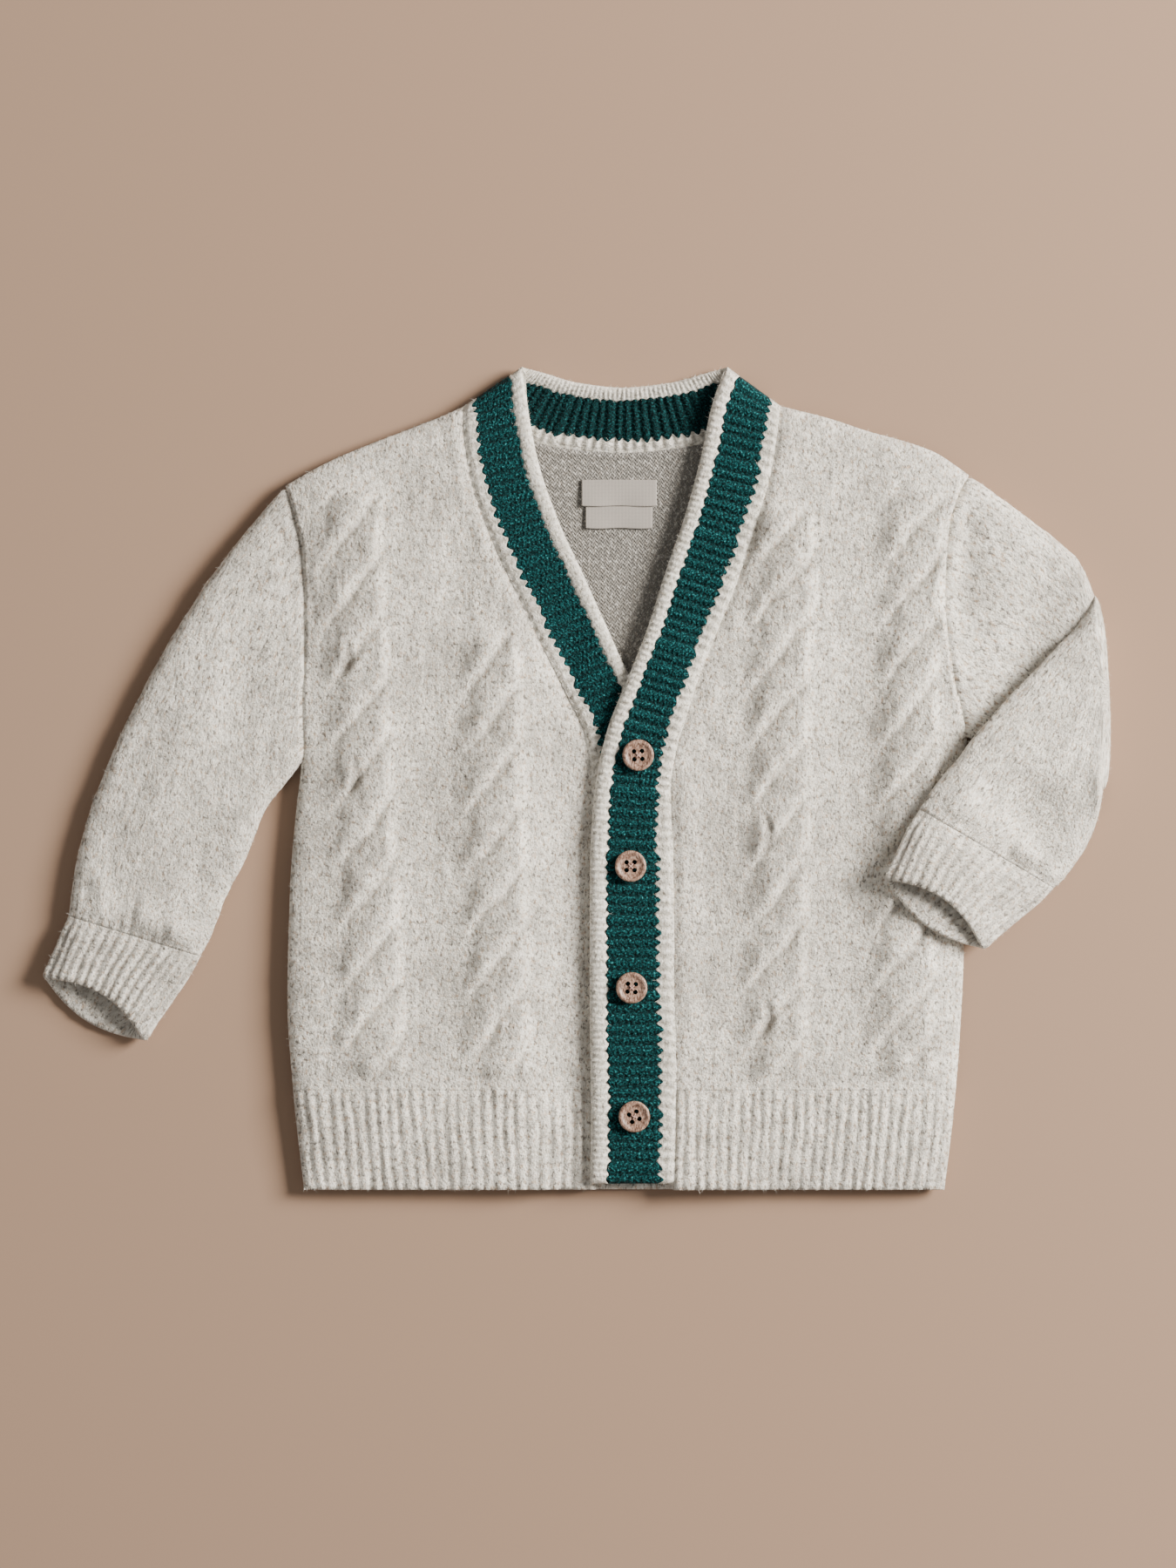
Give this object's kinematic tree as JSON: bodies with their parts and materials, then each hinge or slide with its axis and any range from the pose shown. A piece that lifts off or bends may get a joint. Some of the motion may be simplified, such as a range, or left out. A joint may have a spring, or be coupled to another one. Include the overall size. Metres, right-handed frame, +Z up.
{
  "type": "baby cardigan",
  "caption": "Thick cream wool baby cardigan with cables, a V-neck and tipped green button bands, buttoned and laid flat with one sleeve folded in.",
  "frame": {"origin": "on the underside of the back where it rests, on the garment's centre line, 155 mm above the hem's edge", "axes": "+X to the wearer's left, +Y from the hem to the neck, +Z up off the surface that the cardigan lies on"},
  "size_m": [0.407, 0.3143, 0.0209],
  "materials": {
    "cream_wool": "brushed marled wool",
    "cream_tipping": "rib-knitted wool",
    "green_rib": "rib-knitted wool",
    "button_wood": "smooth",
    "label_tape": "woven tape"
  },
  "bodies": {
    "root": {"front_right": "cream_wool", "front_left": "cream_wool", "back": "cream_wool", "hem_right": "cream_wool", "hem_left": "cream_wool", "hem_back": "cream_wool", "sleeve_right": "cream_wool", "cuff_right": "cream_wool", "sleeve_left": "cream_wool", "cuff_left": "cream_wool", "edging_right": "cream_tipping", "edging_left": "cream_tipping", "edging_neck": "cream_tipping", "tipping_right": "cream_tipping", "tipping_left": "cream_tipping", "tipping_neck": "cream_tipping", "band_right": "green_rib", "band_left": "green_rib", "band_neck": "green_rib", "button_1": "button_wood", "button_2": "button_wood", "button_3": "button_wood", "button_4": "button_wood", "label_main": "label_tape", "label_size": "label_tape"}
  },
  "joints": []
}
